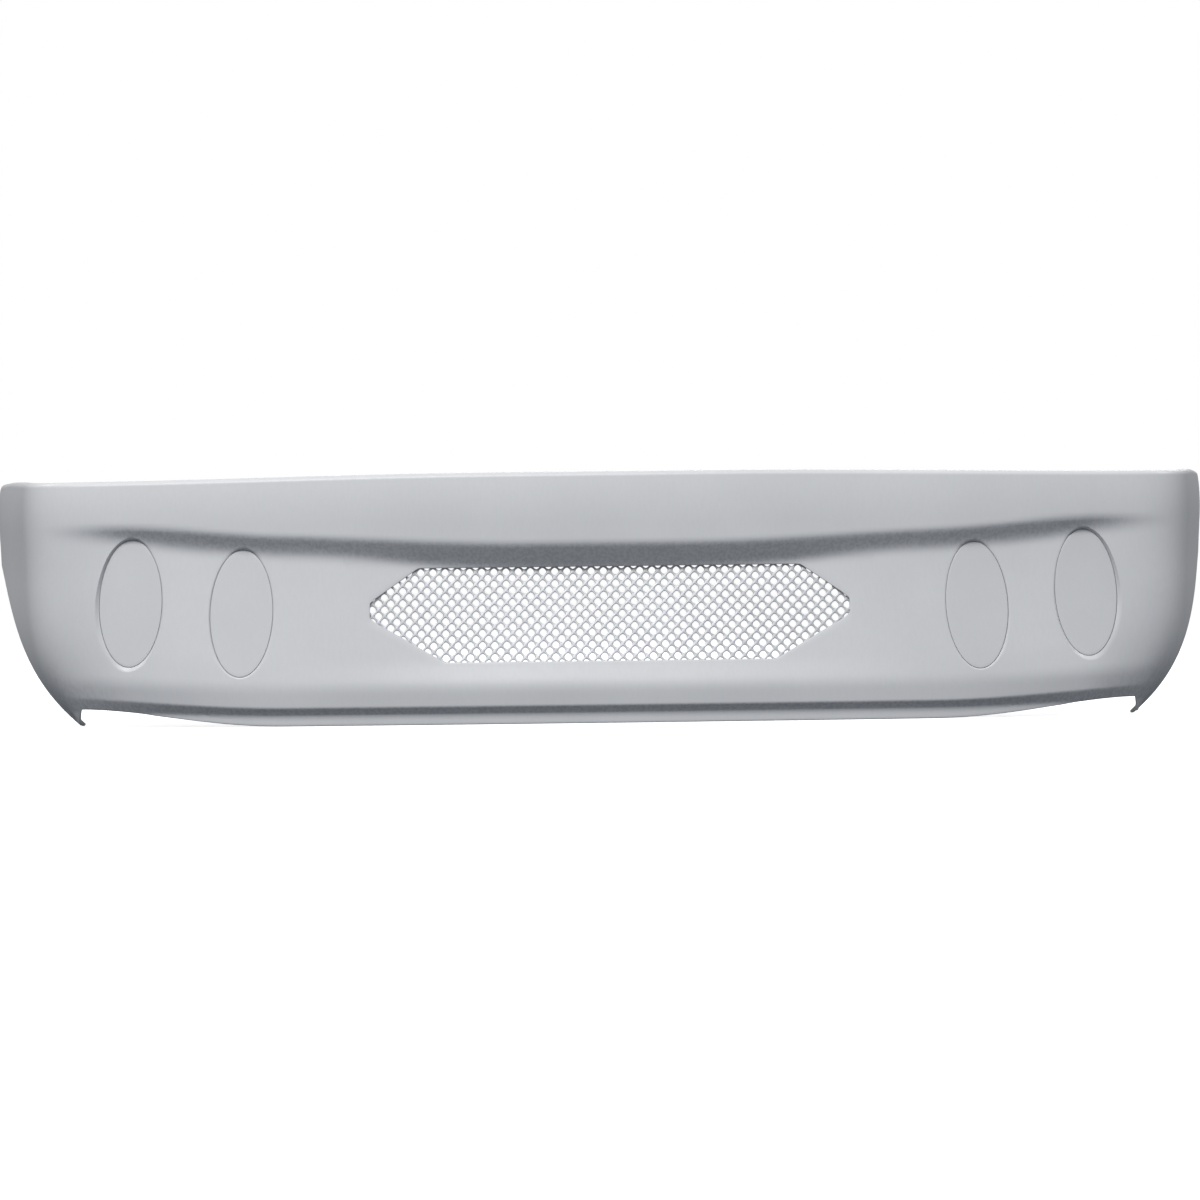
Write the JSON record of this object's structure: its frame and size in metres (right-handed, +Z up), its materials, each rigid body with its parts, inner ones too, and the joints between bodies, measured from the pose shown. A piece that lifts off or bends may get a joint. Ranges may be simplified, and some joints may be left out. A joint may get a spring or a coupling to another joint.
{
  "type": "front bumper cover",
  "caption": "Wide moulded front bumper cover with wrapped ends, a recessed mesh grille, oval lamp blanking covers, a top mounting flange and brackets behind.",
  "frame": {"origin": "bottom centre of the whole part: the plane of its lower lip and wheel-arch tips, midway across and midway from front to rear", "axes": "+X across the car, +Z up, the front faces -Y; left and right in names mean -X and +X"},
  "size_m": [1.6658, 0.4231, 0.328],
  "materials": {
    "skin_gelcoat": "satin light-grey gel coat over moulded glass-fibre plastic, faint vertical sanding streaks",
    "cover_gelcoat": "the same satin light-grey gel coat as the skin",
    "mesh_aluminium": "satin silver, flattened strands",
    "rail_aluminium": "mill finish strip",
    "zinc_steel": "bright zinc plating",
    "bracket_paint": "satin black paint on pressed steel"
  },
  "bodies": {
    "root": {"bumper_skin": "skin_gelcoat", "grille_mesh": "mesh_aluminium", "grille_retaining_frame": "zinc_steel", "grille_stud_right_lower": "zinc_steel", "grille_nut_right_lower": "zinc_steel", "grille_stud_right_tip": "zinc_steel", "grille_nut_right_tip": "zinc_steel", "grille_stud_right_upper": "zinc_steel", "grille_nut_right_upper": "zinc_steel", "grille_stud_left_upper": "zinc_steel", "grille_nut_left_upper": "zinc_steel", "grille_stud_left_tip": "zinc_steel", "grille_nut_left_tip": "zinc_steel", "grille_stud_left_lower": "zinc_steel", "grille_nut_left_lower": "zinc_steel", "lamp_cover_outer_left": "cover_gelcoat", "lamp_strap_outer_left": "zinc_steel", "lamp_nut_outer_left": "zinc_steel", "lamp_cover_inner_left": "cover_gelcoat", "lamp_strap_inner_left": "zinc_steel", "lamp_nut_inner_left": "zinc_steel", "lamp_cover_outer_right": "cover_gelcoat", "lamp_strap_outer_right": "zinc_steel", "lamp_nut_outer_right": "zinc_steel", "lamp_cover_inner_right": "cover_gelcoat", "lamp_strap_inner_right": "zinc_steel", "lamp_nut_inner_right": "zinc_steel", "upper_mounting_rail": "rail_aluminium", "rail_nut_far_left": "zinc_steel", "rail_nut_left": "zinc_steel", "rail_nut_middle": "zinc_steel", "rail_nut_right": "zinc_steel", "rail_nut_far_right": "zinc_steel", "beam_bracket_left": "bracket_paint", "beam_stud_lower_left": "zinc_steel", "beam_nut_lower_left": "zinc_steel", "beam_stud_upper_left": "zinc_steel", "beam_nut_upper_left": "zinc_steel", "side_bracket_left": "bracket_paint", "side_stud_front_left": "zinc_steel", "side_nut_front_left": "zinc_steel", "side_stud_rear_left": "zinc_steel", "side_nut_rear_left": "zinc_steel", "beam_bracket_right": "bracket_paint", "beam_stud_lower_right": "zinc_steel", "beam_nut_lower_right": "zinc_steel", "beam_stud_upper_right": "zinc_steel", "beam_nut_upper_right": "zinc_steel", "side_bracket_right": "bracket_paint", "side_stud_front_right": "zinc_steel", "side_nut_front_right": "zinc_steel", "side_stud_rear_right": "zinc_steel", "side_nut_rear_right": "zinc_steel"}
  },
  "joints": []
}
